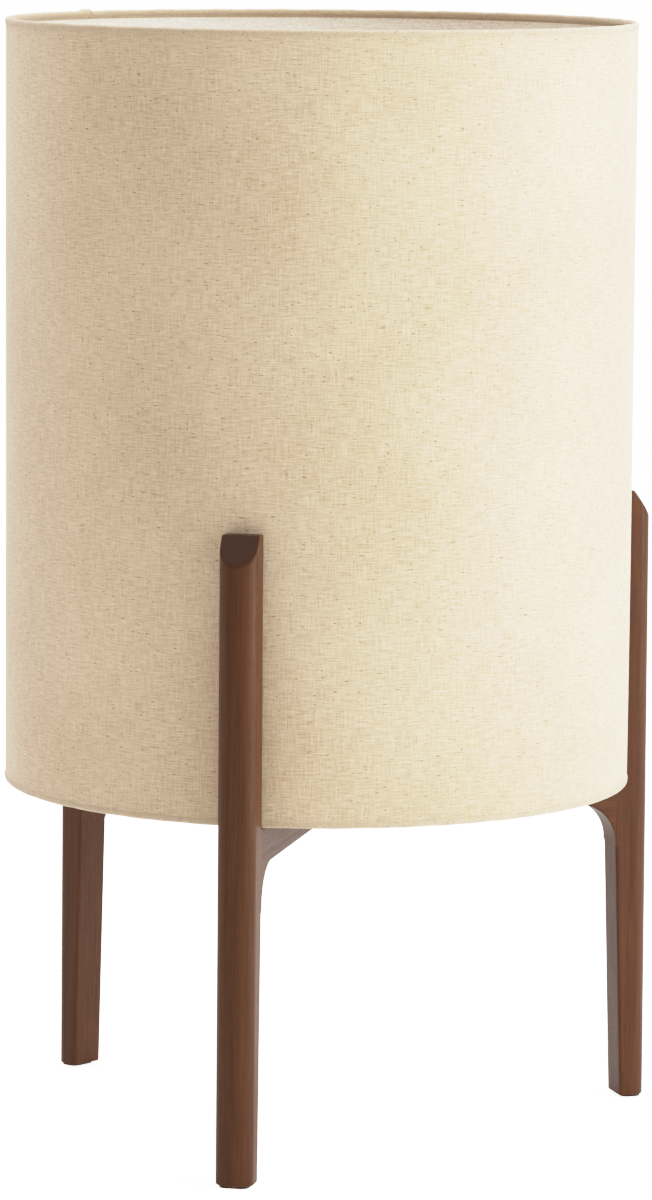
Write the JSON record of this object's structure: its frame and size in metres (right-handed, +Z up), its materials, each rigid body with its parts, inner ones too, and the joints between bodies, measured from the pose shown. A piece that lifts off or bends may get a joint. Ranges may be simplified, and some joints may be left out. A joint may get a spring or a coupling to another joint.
{
  "type": "tripod floor lamp",
  "caption": "Tripod lamp with a tall open drum shade in slubbed linen, resting between walnut legs that run up its outside, and a riser, lampholder, turn knob and bulb inside.",
  "frame": {"origin": "floor level, at the middle of the footprint's box; the lamp's own axis stands 14.5 mm behind it, at Y = +0.0145", "axes": "+Z up along the lamp's axis, -Y towards the front leg"},
  "size_m": [0.4499, 0.479, 0.793],
  "materials": {
    "walnut": "satin walnut stain with open grain",
    "dowel_beech": "plain turned beech",
    "hub_wood": "satin walnut stain",
    "felt": "pressed wool felt",
    "linen": "oatmeal linen and cotton with slubs",
    "hem_linen": "the shade's own cloth, as bias tape",
    "lining": "satin white shade film",
    "frame_wire": "white dipped wire",
    "black_steel": "satin black powder coat",
    "zinc": "bright zinc plate",
    "brass": "plain brass",
    "spun_brass": "brushed antique brass",
    "fibre": "pressed fibre",
    "phenolic": "moulded black phenolic",
    "nylon": "moulded black nylon",
    "clear_glass": "clear blown glass",
    "cap_metal": "pressed nickel plate",
    "black_glass": "black vitrite",
    "solder": "solder",
    "phosphor": "yellow phosphor"
  },
  "bodies": {
    "stand": {"post_front": "walnut", "post_right": "walnut", "post_left": "walnut", "arm_front": "walnut", "arm_right": "walnut", "arm_left": "walnut", "foot_pad_front": "felt", "foot_pad_right": "felt", "foot_pad_left": "felt", "knee_dowels": "dowel_beech", "hub_dowels": "dowel_beech", "hub_block": "hub_wood", "hub_plate": "black_steel", "plate_screws": "zinc", "under_cover": "black_steel", "cover_screws": "black_steel", "cord_bushing": "nylon", "threaded_rod": "zinc", "lower_washer": "zinc", "lower_nut": "zinc", "seat_cup": "spun_brass", "riser_tube": "spun_brass", "lock_washer": "zinc", "lock_nut": "zinc", "holder_cap": "spun_brass", "set_screw": "zinc", "holder_shell": "spun_brass", "insulating_sleeve": "fibre", "switch_body": "phenolic", "terminal_screws": "brass", "screw_shell": "brass", "centre_contact": "brass"},
    "shade": {"shade_fabric": "linen", "shade_liner": "lining", "top_ring": "frame_wire", "bottom_ring": "frame_wire", "top_hem": "hem_linen", "bottom_hem": "hem_linen"},
    "knob": {"knob_shaft": "brass", "turn_knob": "phenolic"},
    "bulb": {"bulb_cap": "cap_metal", "bulb_insulator": "black_glass", "bulb_contact": "solder", "bulb_glass": "clear_glass", "bulb_stem": "clear_glass", "bulb_filaments": "phosphor", "bulb_supports": "zinc"}
  },
  "joints": [
    {"name": "shade_lift", "type": "slide", "parent": "stand", "child": "shade", "axis": [0, 0, 1], "range_m": [0, 0.22]},
    {"name": "knob_turn", "type": "hinge", "parent": "stand", "child": "knob", "pos_m": [0.028, 0.0145, 0.4139], "axis": [1, 0, 0], "continuous": true},
    {"name": "bulb_unscrew", "type": "slide", "parent": "stand", "child": "bulb", "axis": [0, 0, 1], "range_m": [0, 0.11]}
  ]
}
